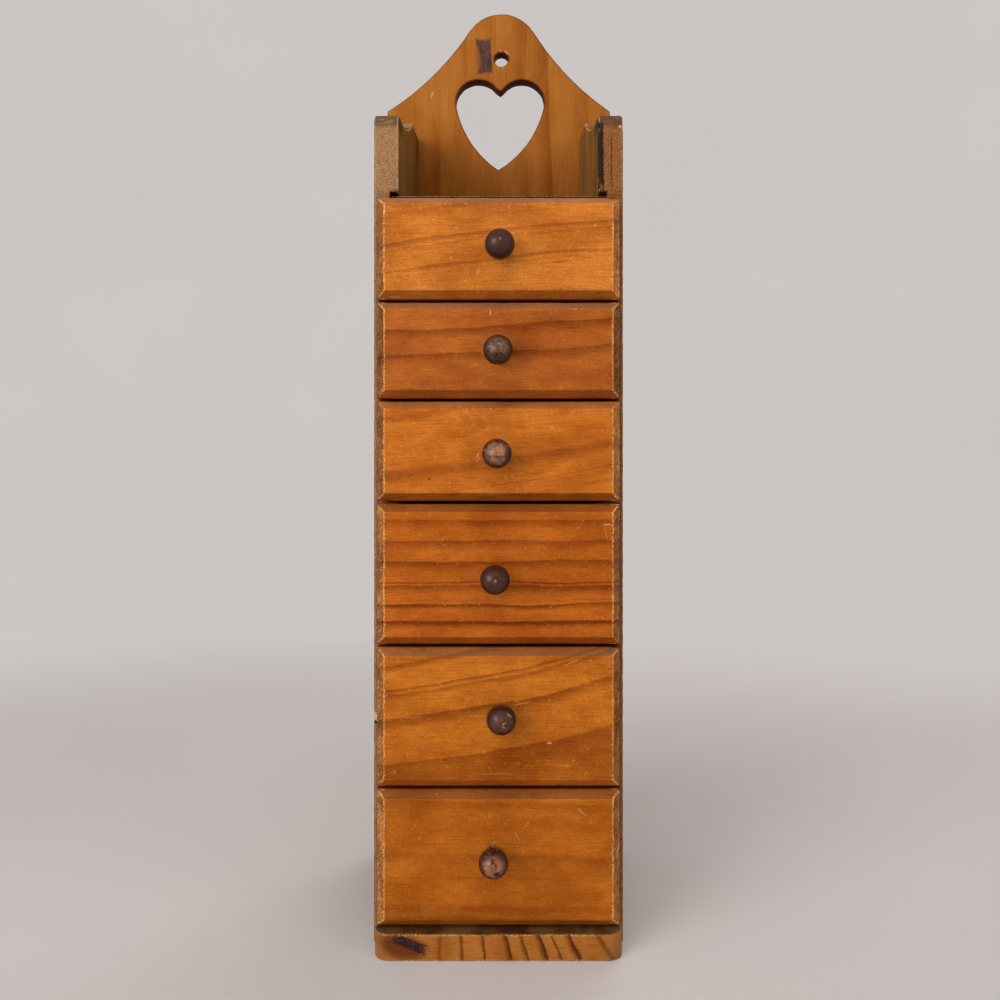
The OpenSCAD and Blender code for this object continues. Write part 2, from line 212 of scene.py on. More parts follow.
# tone: the clear wood.
# lean, fan, bow: slope of the rings, its change with height, and their upturn at the right.
# rims: brightness of the upper and lower bevels, which is painted light and shade, wear of the upper arris,
# and dust on the upper bevel.
# ends: brightness of the left and right end bevels, which is painted light and shade.
# rings: (height above the front's middle, strength, fade below, fade above).
# shades and marks: (x, height, half width, half height, turn in degrees, strength), for broad dark patches
# and small pale scars.
Front = namedtuple("Front", "tone lean fan bow rims ends rings shades marks")
FRONTS = {
    6: Front(
        (0.59, 0.186, 0.024), 0.135, 0, -0.001, (1, 0.9, 0.7, 0.15), (1, 1.6),
        [(7.9, 0.55, 2.4, 0.5), (4.8, 0.25, 1.2, 0.4), (-4.9, 0.5, 1.8, 0.5), (-7.6, 0.2, 1.2, 0.4),
         (22, 0.3, 5, 1)],
        [(-50, 5, 16, 12, 0, 0.3), (-25, 20, 36, 4, 0, 0.35), (28, -6.6, 7, 0.7, 4, 0.9)],
        [(-9, -11, 2.5, 0.9, 60, 0.5), (-19, 8.5, 1.2, 0.5, 20, 0.6), (-47, -22.2, 4.5, 0.6, 0, 0.9)],
    ),
    5: Front(
        (0.43, 0.116, 0.016), 0.035, 0.001, 0.0005, (1, 1.08, 0.68, 0.13), (0.75, 0.95),
        [(10.5, 0.65, 5, 0.7), (-1.3, 0.6, 5, 0.7), (-14, 0.15, 2, 1), (16, 0.12, 2, 1)],
        [(25, 4, 40, 14, 0, 0.25), (-40, -12, 16, 10, 0, 0.15)],
        [(-3.6, 16.6, 0.5, 2.2, 0, 0.9), (-7, -1.6, 1.8, 0.7, 70, 0.5), (-11, -7, 2.4, 1.2, 20, 0.25)],
    ),
    4: Front(
        (0.555, 0.16, 0.017), 0.125, 0, 0.0008, (1, 0.7, 0.7, 0.08), (1, 1.4),
        [(-4.6, 0.5, 6, 3), (-15.3, 0.5, 0.5, 0.4), (-21, 0.25, 3, 1), (21.5, 0.35, 4, 1)],
        [(38, 2, 26, 12, 8, 0.35), (-31.3, -12.6, 1.5, 0.8, -30, 1)],
        [(-9.4, -2, 2.6, 0.5, 65, 0.7), (-9, -4, 1.6, 0.4, 65, 0.5), (-12, 11, 3, 0.4, 45, 0.4),
         (-19, 15, 3.5, 0.4, -25, 0.5), (-5, 10, 2.4, 0.4, 50, 0.4), (10, -10, 2, 0.5, 10, 0.3)],
    ),
    3: Front(
        (0.475, 0.122, 0.011), 0.004, 0, 0, (0.82, 1, 0.58, 0.02), (1.35, 1.25),
        [(24.4, 0.6, 5, 0.6), (15.1, 0.65, 5, 0.6), (5.8, 0.75, 5, 0.5), (-3.6, 0.9, 1, 0.4),
         (-5.1, 0.75, 4.5, 0.4), (-11.7, 0.35, 0.6, 0.4), (-13.7, 0.95, 2.6, 0.5), (-21.5, 1, 3.5, 0.9)],
        [(0, 26, 60, 6, 0, 0.3)],
        [(49, 22.5, 3, 0.5, 0, 0.7), (48.5, 18.7, 0.3, 4, 15, 0.5), (35.9, 21, 1.5, 0.5, 0, 0.5)],
    ),
    2: Front(
        (0.53, 0.157, 0.014), 0.15, 0.001, 0.0015, (0.8, 1.7, 0.58, 0.1), (1.15, 1.35),
        [(32, 0.6, 3, 1), (20.2, 0.7, 1.6, 0.6), (17.9, 0.55, 3, 0.4), (6.2, 0.7, 6.5, 0.6),
         (-15, 0.62, 26, 0.7, 0.45)],
        [(0, 27, 60, 5, 0, 0.2)],
        [(23, -11.2, 1.6, 0.8, 0, 0.9), (29.6, -21.4, 4, 0.35, 0, 0.5), (10.6, 6.5, 6, 0.4, 8, 0.6),
         (0, -25, 12, 0.3, 3, 0.3), (33.6, 25.3, 6, 0.6, 22, 0.4), (-40, 0.2, 8, 0.3, 4, 0.4)],
    ),
    1: Front(
        (0.455, 0.128, 0.01), -0.02, 0, 0, (0.85, 2, 0.54, 0.04), (1.45, 1.35),
        [(6.8, 0.3, 0.7, 0.3), (1.6, 0.25, 5, 2), (-8.7, 0.3, 0.7, 0.3), (-22, 0.35, 6, 2), (-27, 0.3, 3, 1),
         (25, 0.3, 5, 2)],
        [(0, -26, 60, 6, 0, 0.35), (-42, 24, 20, 12, 0, 0.3), (40, -4, 20, 10, 0, 0.3)],
        [(38, 21, 3.5, 0.3, -35, 0.7), (36, 23, 2.5, 0.3, -30, 0.6), (8.5, 10.5, 3.4, 0.3, -60, 0.7),
         (13, 16, 3, 0.4, 60, 0.4), (11, 3, 2.5, 0.25, 80, 0.4), (-28, 29, 1.2, 0.7, 0, 0.6)],
    ),
}
RING_TINT = (0.4, 0.26, 0.18)
RAW_PINE = (0.66, 0.37, 0.15)
SHADE_TINT = (0.55, 0.4, 0.32)


def chips(f, amount, seed=3):
    """Where the finish is rubbed through to raw wood: broken patches along the arrises."""
    broken = f.step(f.noise((0.6, 0.6, 0.6), detail=3, rough=0.7, seed=seed), 0.3, 0.7)
    patchy = f.noise((9, 9, 9), detail=2, seed=seed + 4)
    near = f.math("POWER", f.attribute("wear"), 2.5)
    reach = f.math("MULTIPLY_ADD", near, amount, f.math("MULTIPLY_ADD", broken, 0.6, -0.82))
    return f.step(f.math("MULTIPLY_ADD", patchy, 0.4, reach), 0.12, 0.3)


def face_rings(f, n, reach, x, z):
    """Growth rings that cross a drawer front, with a crisp upper edge and a slow fade below it."""
    front = FRONTS[n]
    right = f.math("MAXIMUM", x, 0)
    path = f.math("SUBTRACT", z, f.product(x, f.math("MULTIPLY_ADD", z, front.fan, front.lean)))
    path = f.math("SUBTRACT", path, f.product(right, right, front.bow))
    path = f.math("ADD", path, f.math("MULTIPLY_ADD", f.noise((34, 34, 9), seed=n), 3.2, -1.6))
    path = f.math("ADD", path, f.math("MULTIPLY_ADD", f.noise((6, 6, 1.6), detail=1, seed=n + 6), 0.8, -0.4))
    patchy = f.step(f.noise((26, 26, 5), seed=n + 12), 0.2, 0.55)
    return f.product(f.lines(path, -reach, reach, front.rings), f.math("MULTIPLY_ADD", patchy, 0.3, 0.7))


def torn_ends(f, n, rings, right):
    """Colour of a front's end bevels: dull brown end grain, torn into pale slanting fibres."""
    smooth = f.step(f.noise((6, 6, 14), detail=3, seed=n), 0.35, 0.7)
    colour = f.mix(smooth, (0.25, 0.088, 0.024), (0.13, 0.042, 0.013))
    fibres = f.step(f.noise((2.4, 2.4, 0.4), detail=3, rough=0.65, seed=n, turn=55), 0.48, 0.66)
    torn = f.product(fibres, f.math("MULTIPLY_ADD", smooth, -0.35, 0.75))
    colour = f.mix(torn, colour, (0.62, 0.28, 0.07))
    # Painted light and shade: each end bevel is made lighter or darker by the front's ends.
    left, right_hand = ([share] * 3 for share in FRONTS[n].ends)
    colour = f.mix(1, colour, f.mix(right, left, right_hand), "MULTIPLY")
    return f.mix(f.product(rings, 0.7), colour, RING_TINT, "MULTIPLY")


def face_pine(n):
    """Orange-brown stained pine of one drawer front, with its own rings and scars."""
    front = FRONTS[n]
    low, high = (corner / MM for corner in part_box(f"drawer_{n}_front"))
    middle = (low[Z] + high[Z]) / 2
    f = Finish(f"face_pine_{n}")
    z = f.math("SUBTRACT", f.coordinate(Z), middle)
    rings = face_rings(f, n, (high[Z] - low[Z]) / 2 + 14, f.coordinate(X), z)
    ahead = f.step(f.coordinate(Y), low[Y] + 5, low[Y] + 4)

    blotch = f.noise((24, 24, 12), detail=3, rough=0.55, seed=n)
    light = brighter(front.tone, 1.1, 1.14, 1.2)
    dark = brighter(front.tone, 0.8, 0.72, 0.65)
    colour = f.mix(f.step(blotch, 0.3, 0.7), light, dark)
    fibres = f.noise(along_grain(X, 9, 0.4), detail=3, rough=0.65, seed=n)
    colour = f.mix(f.step(fibres, 0.42, 0.7), colour, (0.78, 0.69, 0.6), "MULTIPLY")
    colour = f.mix(rings, colour, RING_TINT, "MULTIPLY")
    pores = f.step(f.noise(along_grain(X, 1.8, 0.32), detail=1, seed=n + 3), 0.64, 0.74)
    colour = f.mix(f.product(pores, 0.65), colour, (0.5, 0.38, 0.3), "MULTIPLY")
    specks = f.noise((0.65, 0.65, 0.45), detail=2, rough=0.65, seed=n + 5)
    pale = brighter(front.tone, 1.5, 2.0, 4.5)
    colour = f.mix(f.product(f.step(specks, 0.52, 0.72), 0.8), colour, (1.3, 1.45, 2), "MULTIPLY")
    colour = f.mix(f.product(f.step(specks, 0.45, 0.28), 0.5), colour, (0.66, 0.55, 0.5), "MULTIPLY")
    colour = f.mix(f.product(f.hairs(3, 0.025, seed=n), 0.4), colour, pale)
    for x0, z0, half_w, half_h, turn, strength in front.shades:
        shade = f.step(f.spot((x0, middle + z0), (half_w, half_h), turn), 0, 0.8)
        colour = f.mix(f.product(shade, strength), colour, SHADE_TINT, "MULTIPLY")
    for x0, z0, half_w, half_h, turn, strength in front.marks:
        mark = f.step(f.spot((x0, middle + z0), (half_w, half_h), turn), 0.1, 0.6)
        ragged = f.step(specks, 0.25, 0.6)
        colour = f.mix(f.product(mark, ragged, ahead, strength), colour, RAW_PINE)

    bevel = f.attribute("bevel")
    # The bevels are darkened, partly by dirt and partly as painted shade, and each front's rims set how
    # light or dark they are painted.
    grime = f.noise((5, 5, 2.2), detail=3, rough=0.6, seed=n + 7)
    above = f.step(z, -1, 1)
    dirt_and_shade = f.product(bevel, f.math("MULTIPLY_ADD", grime, 0.3, 0.75))
    lower_bevel_dirt_and_shade = brighter((0.62, 0.55, 0.5), *[front.rims[1]] * 3)
    upper_bevel_dirt_and_shade = brighter((0.6, 0.58, 0.6), *[front.rims[0]] * 3)
    colour = f.mix(dirt_and_shade, colour, f.mix(above, lower_bevel_dirt_and_shade, upper_bevel_dirt_and_shade), "MULTIPLY")
    colour = f.mix(f.product(bevel, above, front.rims[3]), colour, (0.5, 0.32, 0.19))
    colour = f.mix(f.attribute("end"), colour, torn_ends(f, n, rings, f.step(f.coordinate(X), -1, 1)))
    # Painted shade: the front's narrow sides, which face into the gaps between drawers, are darkened.
    colour = f.mix(f.product(f.attribute("edge"), 0.9), colour, (0.3, 0.24, 0.24), "MULTIPLY")
    worn = chips(f, 0.64, seed=n)
    colour = f.mix(f.product(worn, 0.85), colour, (0.76, 0.46, 0.2))

    relief = f.math("MULTIPLY_ADD", rings, -0.5, f.math("MULTIPLY_ADD", pores, -0.7, fibres))
    rough = f.math("MULTIPLY_ADD", worn, 0.2, f.math("MULTIPLY_ADD", grime, 0.16, 0.42))
    return f.finish(colour, rough, f.bump(relief, 0.12, 0.5), Specular_IOR_Level=0.05)


# Pine of the case

# Heights of the middles of the heart's lobes and of the hang hole
HEART_Z = 436
HANG_HOLE_Z = 461.3


def case_pine(name, grain, light, dark, ring_tint, pitch, wear, end_tint=(0.6, 0.55, 0.55)):
    """Stained pine whose rings run along the grain axis, about pitch millimetres apart."""
    across = Y if grain == X else X
    f = Finish(name)
    sway = f.noise(along_grain(grain, 160, 26), detail=2, seed=2)
    path = f.math("ADD", f.coordinate(across), f.product(sway, 34))
    if grain != Z:
        path = f.math("ADD", path, f.product(f.coordinate(Z), 0.45))
    phase = f.math("FRACT", f.math("DIVIDE", path, pitch))
    rings = f.product(f.step(phase, 0.25, 0.92), f.step(phase, 1.0, 0.93))
    rings = f.product(rings, f.step(f.noise(along_grain(grain, 90, 18), seed=7), 0.3, 0.75))
    blotch = f.noise(along_grain(grain, 60, 22), detail=3, rough=0.55, seed=11)
    colour = f.mix(f.step(blotch, 0.3, 0.7), light, dark)
    fibres = f.noise(along_grain(grain, 14, 0.5), detail=3, rough=0.65, seed=1)
    colour = f.mix(f.step(fibres, 0.42, 0.75), colour, (0.78, 0.7, 0.62), "MULTIPLY")
    colour = f.mix(rings, colour, ring_tint, "MULTIPLY")
    pores = f.step(f.noise(along_grain(grain, 2.2, 0.35), detail=1, seed=5), 0.64, 0.74)
    colour = f.mix(f.product(pores, 0.55), colour, (0.5, 0.4, 0.34), "MULTIPLY")
    colour = f.mix(f.product(f.attribute("end"), 0.8), colour, end_tint, "MULTIPLY")
    worn = chips(f, wear)
    colour = f.mix(f.product(worn, 0.7), colour, RAW_PINE)
    relief = f.math("MULTIPLY_ADD", pores, -0.7, fibres)
    rough = f.math("MULTIPLY_ADD", worn, 0.2, f.math("MULTIPLY_ADD", blotch, 0.2, 0.42))
    return f, colour, rough, f.bump(relief, 0.12, 0.5)


def back_pine():
    """The back board: clear upright grain, darkened behind the tray as painted shade, with a dark bark
    streak and a scratch.
    """
    f, colour, rough, normal = case_pine(
        "back_pine", Z, (0.44, 0.163, 0.029), (0.35, 0.118, 0.017), (0.72, 0.58, 0.46), 17, 0.3)
    front_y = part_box("back_board")[0][Y] / MM
    ahead = f.step(f.coordinate(Y), front_y + 2, front_y + 1)
    # Painted shade: the narrow sides, the walls of the heart and of the hang hole among them, are darkened.
    colour = f.mix(f.attribute("edge"), colour, (0.26, 0.14, 0.07), "MULTIPLY")
    arris = f.step(f.attribute("wear"), 0.4, 1)
    colour = f.mix(f.product(arris, 0.75), colour, (0.45, 0.36, 0.3), "MULTIPLY")
    # Painted shade: the back is darkened low down, inside the tray.
    tray = f.step(f.coordinate(Z), 432, 385)
    colour = f.mix(f.product(tray, ahead, 0.7), colour, (0.66, 0.6, 0.55), "MULTIPLY")
    bark = f.noise((1.4, 1.4, 6), detail=3, rough=0.6, seed=3)
    bark_colour = f.mix(f.step(bark, 0.3, 0.7), (0.045, 0.021, 0.02), (0.105, 0.05, 0.042))
    bark_colour = f.mix(f.product(f.hairs(1.5, 0.05, seed=2), 0.5), bark_colour, (0.3, 0.2, 0.15))
    rosy = f.step(f.spot((-12.3, 461.5), (2.4, 11), 3), 0.1, 0.6)
    bark_colour = f.mix(f.product(rosy, 0.85), bark_colour, (0.27, 0.085, 0.04))
    streak = f.product(f.patch((-8.5, 462.8), (4.7, 10.8), turn=3, ragged=0.2), ahead)
    colour = f.mix(f.product(streak, 0.95), colour, bark_colour)
    frayed = f.product(f.step(f.spot((1.6, HANG_HOLE_Z), (6, 6)), 0, 0.25), f.step(bark, 0.5, 0.6), ahead)
    colour = f.mix(f.product(frayed, 0.6), colour, (0.62, 0.36, 0.16))
    scratch = f.step(f.spot((-38.6, 440.7), (2.8, 0.7), 65), 0.1, 0.6)
    colour = f.mix(f.product(scratch, ahead, 0.6), colour, (0.72, 0.42, 0.2))
    return f.finish(colour, rough, normal, Specular_IOR_Level=0.02)


def side_pine(hand, speck_dark, speck_light):
    """A side board: plain dull pine, with its front edge rubbed to a speckle."""
    f, colour, rough, normal = case_pine(
        f"{hand}_side_pine", Z, (0.27, 0.102, 0.019), (0.2, 0.072, 0.013), (0.66, 0.52, 0.42), 11, 0.45)
    edge = f.attribute("edge")
    specks = f.noise((0.5, 0.5, 0.6), detail=3, rough=0.75, seed=9)
    rubbed = f.mix(f.step(specks, 0.33, 0.67), speck_dark, speck_light)
    hairs = f.hairs(1.8, 0.04, seed=5)
    rubbed = f.mix(f.product(hairs, 0.4), rubbed, brighter(speck_light, 1.25, 1.3, 1.35))
    # Painted shade: the front edge is darker where it runs beside the drawers.
    rubbed = f.mix(f.step(f.coordinate(Z), 352, 346), rubbed, (0.78, 0.7, 0.66), "MULTIPLY")
    # Painted reflected light: the faces inside the tray are made paler and greyer.
    inner = f.step(f.math("ABSOLUTE", f.coordinate(X)), 46.9, 46.6)
    colour = f.mix(inner, colour, (1.2, 1.5, 2.2), "MULTIPLY")
    colour = f.mix(edge, colour, rubbed)
    nose = f.product(f.step(f.coordinate(Z), 378.5, 381), f.step(f.coordinate(Y), -20, -26))
    smudge = f.step(f.noise((6, 6, 1.4), detail=3, seed=6, turn=15), 0.72, 0.5)
    colour = f.mix(f.product(nose, smudge, 0.75), colour, (0.075, 0.05, 0.026))
    midway = f.product(f.step(f.coordinate(Z), 385, 391), f.step(f.coordinate(Z), 400, 394))
    scroll = f.product(f.attribute("end"), midway)
    colour = f.mix(f.product(scroll, 0.6), colour, (0.26, 0.19, 0.13))
    # Painted shade: a dark line down the outer arris of the front edge, which is kept free of wear.
    shaded_outer_arris = f.step(f.math("ABSOLUTE", f.coordinate(X)), 57, 57.7)
    colour = f.mix(f.product(shaded_outer_arris, edge, 0.7), colour, (0.5, 0.42, 0.38), "MULTIPLY")
    worn = f.product(chips(f, 0.6, seed=8), f.math("SUBTRACT", 1, shaded_outer_arris))
    colour = f.mix(f.product(worn, edge, 0.6), colour, (0.62, 0.38, 0.17))
    return f, colour, rough, normal


def left_side_pine():
    """The left side also has a pale chip with a black hole in it, low on its front edge."""
    f, colour, rough, normal = side_pine("left", (0.166, 0.077, 0.029), (0.46, 0.26, 0.124))
    ahead = f.step(f.coordinate(Y), -35, -37)
    chip = f.step(f.spot((-57.4, 105), (2.2, 3.2), 10), 0.05, 0.4)
    colour = f.mix(f.product(chip, ahead, 0.9), colour, (0.6, 0.38, 0.12))
    hole = f.step(f.spot((-57.2, 102.6), (1, 1.1)), 0.05, 0.4)
    colour = f.mix(f.product(hole, ahead, 0.95), colour, (0.02, 0.01, 0.008))
    return f.finish(colour, rough, normal, Specular_IOR_Level=0)


def right_side_pine():
    """The right side also has a black smear down the inner arris of its tray edge, a crack and a chip."""
    f, colour, rough, normal = side_pine("right", (0.1, 0.036, 0.012), (0.41, 0.16, 0.053))
    ahead = f.step(f.coordinate(Y), -36, -37)
    smear = f.product(f.patch((47.6, 366), (1.7, 19), turn=1, soft=0.4, ragged=0.5), ahead)
    colour = f.mix(f.product(smear, 0.95), colour, (0.014, 0.011, 0.012))
    crack = f.product(f.patch((52.6, 364), (0.5, 16), soft=0.6, ragged=0.4, seed=4), ahead)
    colour = f.mix(f.product(crack, 0.75), colour, (0.05, 0.02, 0.01))
    chip = f.step(f.spot((56.8, 380), (1.3, 0.9), 30), 0.05, 0.4)
    colour = f.mix(f.product(chip, ahead, 0.8), colour, (0.68, 0.44, 0.27))
    return f.finish(colour, rough, normal, Specular_IOR_Level=0)


# Rings on the end of the base's lip: (x, strength, fade to the left, fade to the right)
BASE_RINGS = [
    (-26, 0.5, 2.2, 0.9), (-16.4, 0.85, 1.8, 0.9), (-6.5, 0.95, 1.6, 0.7), (4.6, 0.95, 3.2, 0.7),
    (11.6, 0.85, 2.4, 0.6), (20, 1, 3.4, 0.7), (25.7, 0.95, 1.2, 0.6), (34, 1, 4, 0.8), (47.5, 0.7, 3, 1.4),
]


def base_pine():
    """The base: its lip ends in slanting rings and a bark knot, and grime and painted shade lie on top of
    it.
    """
    f, colour, rough, normal = case_pine(
        "base_pine", Y, (0.49, 0.19, 0.036), (0.4, 0.145, 0.022), (0.85, 0.75, 0.7), 31, 0.2,
        end_tint=(1, 0.98, 0.95))
    x = f.coordinate(X)
    z = f.coordinate(Z)
    slant = f.product(f.math("SUBTRACT", z, 7), f.math("MULTIPLY_ADD", x, 0.009, 0.2))
    wander = f.math("MULTIPLY_ADD", f.noise((3, 30, 3), seed=3), 1.4, -0.7)
    rings = f.lines(f.math("ADD", f.math("ADD", x, slant), wander), -66, 66, BASE_RINGS)
    colour = f.mix(rings, colour, (0.24, 0.13, 0.09), "MULTIPLY")
    saw = f.step(f.noise(along_grain(X, 7, 0.4), detail=3, rough=0.65, seed=6), 0.45, 0.7)
    colour = f.mix(f.product(saw, 0.7), colour, (0.5, 0.38, 0.32), "MULTIPLY")
    # Painted shade: the lip darkens towards its rounded ends.
    corner = f.step(f.math("ABSOLUTE", x), 44, 58)
    colour = f.mix(f.product(corner, 0.65), colour, (0.27, 0.122, 0.057))
    stain = f.step(f.spot((-43, 6.5), (15, 8), -15), 0, 0.6)
    colour = f.mix(f.product(stain, 0.95), colour, (0.33, 0.2, 0.2), "MULTIPLY")
    knot = f.patch((-39.4, 7.7), (8.4, 2.6), turn=-22, soft=0.3, ragged=0.35, seed=2)
    flecks = f.step(f.noise((0.8, 0.8, 0.8), detail=2, rough=0.6, seed=12), 0.5, 0.75)
    colour = f.mix(f.product(knot, 0.95), colour, f.mix(flecks, (0.025, 0.01, 0.01), (0.11, 0.05, 0.04)))
    # The top is darkened partly by grime and partly as painted shade from the drawers above it.
    grime = f.step(f.noise((14, 14, 2), detail=3, seed=4), 0.35, 0.65)
    grime_and_shade = f.mix(grime, (0.035, 0.015, 0.006), (0.11, 0.055, 0.02))
    colour = f.mix(f.product(f.attribute("top"), 0.95), colour, grime_and_shade)
    worn = chips(f, 0.54, seed=6)
    colour = f.mix(f.product(worn, 0.8), colour, RAW_PINE)
    return f.finish(colour, rough, normal, Specular_IOR_Level=0.08)


def box_pine(name, grain):
    f, colour, rough, normal = case_pine(
        name, grain, (0.6, 0.36, 0.15), (0.5, 0.28, 0.105), (0.8, 0.66, 0.52), 6, 0.25)
    return f.finish(colour, rough, normal, Specular_IOR_Level=0.08)


# Stretches of shelf edge that are bare grey: (height, x of the middle, half width)
BARE_EDGES = [(298.7, 35.5, 9.5), (253.6, 28, 17)]


def hardboard():
    """Brown pressed-fibre sheet: mottled, with short fibres in every direction and a rubbed arris."""
    f = Finish("hardboard")
    mottle = f.noise((6, 6, 6), detail=4, rough=0.6)
    fibres = f.noise((1.4, 1.4, 0.5), detail=3, rough=0.7, seed=4)
    colour = f.mix(f.step(mottle, 0.3, 0.7), (0.17, 0.1, 0.055), (0.11, 0.06, 0.032))
    colour = f.mix(f.step(fibres, 0.5, 0.75), colour, (0.27, 0.18, 0.11))
    # Painted shade: the shelves' front edges, which sit in the gaps between drawers, are made near black.
    colour = f.mix(f.product(f.attribute("edge"), 0.85), colour, (0.012, 0.007, 0.005))
    worn = chips(f, 0.62)
    colour = f.mix(f.product(worn, f.step(f.coordinate(Z), 340, 345), 0.8), colour, (0.3, 0.2, 0.12))
    for z0, x0, half_w in BARE_EDGES:
        bare = f.product(f.patch((x0, z0), (half_w, 1.4), soft=0.1, ragged=0.1), f.attribute("edge"))
        colour = f.mix(f.product(bare, 0.9), colour, (0.6, 0.55, 0.5))
    rough = f.math("MULTIPLY_ADD", mottle, 0.2, 0.5)
    return f.finish(colour, rough, f.bump(fibres, 0.1, 0.4), Specular_IOR_Level=0.1)


# Knobs: share of the dark finish that is rubbed brown, its brown, and pale and dark marks as (x, height,
# half width, half height, turn in degrees, strength) from the knob's axis
Knob = namedtuple("Knob", "rubbed brown pale dark")
KNOBS = {
    6: Knob(0.45, (0.1, 0.034, 0.022), [(0, 0.6, 0.6, 0.6, 0, 0.6)], []),
    5: Knob(
        0.8, (0.2, 0.1, 0.05),
        [(0.5, 1.6, 1.6, 0.4, -40, 0.6), (1.4, 0.2, 1.4, 0.4, 60, 0.5)],
        # The dark mark low on this knob is painted shade.
        [(0, -3.6, 4, 1.8, 0, 0.7)],
    ),
    4: Knob(
        0.95, (0.37, 0.165, 0.08),
        [(1.5, 0.6, 1.8, 0.6, 20, 0.3)],
        # The dark mark on this knob's right side is painted shade; the one in its middle is its own.
        [(4.6, -1, 1.8, 4, 0, 0.6), (0, -0.2, 0.5, 0.5, 0, 0.9)],
    ),
    3: Knob(0.4, (0.11, 0.036, 0.024), [(0.1, 0.1, 0.9, 0.7, 30, 0.7)], []),
    2: Knob(
        0.5, (0.14, 0.052, 0.03),
        [(0.9, -0.2, 1.9, 0.35, 35, 0.9), (0.5, -1.3, 1.4, 0.3, -55, 0.8), (1.2, -1.6, 1.3, 0.3, -55, 0.7),
         (3.4, 3.2, 2, 0.4, -45, 0.8)],
        [(0.2, -0.7, 0.6, 0.9, 0, 0.9)],
    ),
    1: Knob(
        1, (0.34, 0.13, 0.058),
        # These pale marks are painted highlights.
        [(-2.2, 1.6, 2, 1.2, 30, 0.3), (2.4, 0.2, 1.4, 0.8, 60, 0.35)],
        [(1.6, -2.4, 2, 1.8, 20, 0.95), (-1.6, -3.6, 1.6, 0.5, -20, 0.7)],
    ),
}


def knob_wood(n):
    """Dark walnut-stained turned wood, rubbed brown where fingers pull."""
    look = KNOBS[n]
    low, high = (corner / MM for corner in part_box(f"drawer_{n}_knob"))
    axis = (low + high) / 2
    f = Finish(f"knob_wood_{n}")
    grain = f.noise(along_grain(X, 5, 0.5), detail=3, rough=0.6, seed=n * 7)
    mottle = f.noise((3, 3, 2), detail=3, rough=0.6, seed=n * 5)
    colour = f.mix(f.step(grain, 0.35, 0.7), (0.062, 0.018, 0.011), (0.022, 0.007, 0.005))
    from_rim = f.spot((axis[X], axis[Z]), [(high[X] - low[X]) / 2] * 2)
    crown = f.step(from_rim, 0.06, 0.6)
    bare = f.product(crown, f.step(mottle, 0.3, 0.6), look.rubbed)
    colour = f.mix(bare, colour, look.brown)
    scratches = f.hairs(2.2, 0.035, seed=n * 3)
    colour = f.mix(f.product(scratches, look.rubbed, 0.7), colour, brighter(look.brown, 1.8, 1.9, 1.8))
    for x0, z0, half_w, half_h, turn, strength in look.pale:
        mark = f.step(f.spot((axis[X] + x0, axis[Z] + z0), (half_w, half_h), turn), 0.05, 0.5)
        colour = f.mix(f.product(mark, strength), colour, (0.4, 0.21, 0.115))
    for x0, z0, half_w, half_h, turn, strength in look.dark:
        mark = f.step(f.spot((axis[X] + x0, axis[Z] + z0), (half_w, half_h), turn), 0.05, 0.6)
        colour = f.mix(f.product(mark, strength), colour, (0.02, 0.009, 0.007))
    shadow = 0.85 - 0.65 * look.rubbed
    colour = f.mix(f.product(f.step(from_rim, 0.35, 0.04), shadow), colour, (0.011, 0.0045, 0.004))
    rough = f.math("MULTIPLY_ADD", mottle, 0.2, 0.2)
    return f.finish(colour, rough, f.bump(grain, 0.08, 0.4), Specular_IOR_Level=0.3)


def brad_steel():
    f = Finish("brad_steel")
    rust = f.noise((0.6, 0.6, 0.6), detail=3, rough=0.6)
    colour = f.mix(f.step(rust, 0.4, 0.7), (0.34, 0.32, 0.3), (0.12, 0.06, 0.035))
    return f.finish(colour, f.math("MULTIPLY_ADD", rust, 0.3, 0.3), f.bump(rust, 0.05, 0.5), Metallic=0.8)


# Boards

def islands(bm):
    """The bmesh's connected bodies, as lists of vertices."""
    left = set(bm.verts)
    found = []
    while left:
        todo = [left.pop()]
        body = []
        while todo:
            vert = todo.pop()
            body.append(vert)
            near = {edge.other_vert(vert) for edge in vert.link_edges} & left
            left -= near
            todo += near
        found.append(body)
    return found


def merged_copy(node):
    """A node's mesh with its corners joined. The walls of a hairline slit then coincide, and go."""
    bm = bmesh.new()
    bm.from_mesh(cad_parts[node].data)
    bmesh.ops.remove_doubles(bm, verts=bm.verts, dist=WELD * MM)
    slit = {vert for edge in bm.edges if len(edge.link_faces) > 2 for vert in edge.verts}
    walls = [face for face in bm.faces if slit.issuperset(face.verts)]
    bmesh.ops.delete(bm, geom=walls, context="FACES")
    return bm


def corners(verts):
    low = Vector(min(v.co[axis] for v in verts) for axis in range(3))
    high = Vector(max(v.co[axis] for v in verts) for axis in range(3))
    return low, high


def nail_boxes(node):
    bm = merged_copy(node)
    boxes = [corners(body) for body in islands(bm)]
    bm.free()
    return sorted(boxes, key=lambda box: tuple(round(c, 6) for c in box[0]))


NAILS = {"case": nail_boxes("case_brads")}
NAILS.update({f"drawer_{n}": nail_boxes(f"drawer_{n}_brads") for n in DRAWERS})


def plug_nail_holes(bm, boxes):
    """Closes the nail holes, which the nails fill."""
    room = Vector([NAIL_ROOM * MM] * 3)

    def inside(vert, box):
        return all(box[0][a] - room[a] <= vert.co[a] <= box[1][a] + room[a] for a in range(3))

    walls = [f for f in bm.faces if any(all(inside(v, box) for v in f.verts) for box in boxes)]
    if walls:
        bmesh.ops.delete(bm, geom=walls, context="FACES")
        rims = [e for e in bm.edges if e.is_boundary]
        bmesh.ops.holes_fill(bm, edges=rims, sides=0)


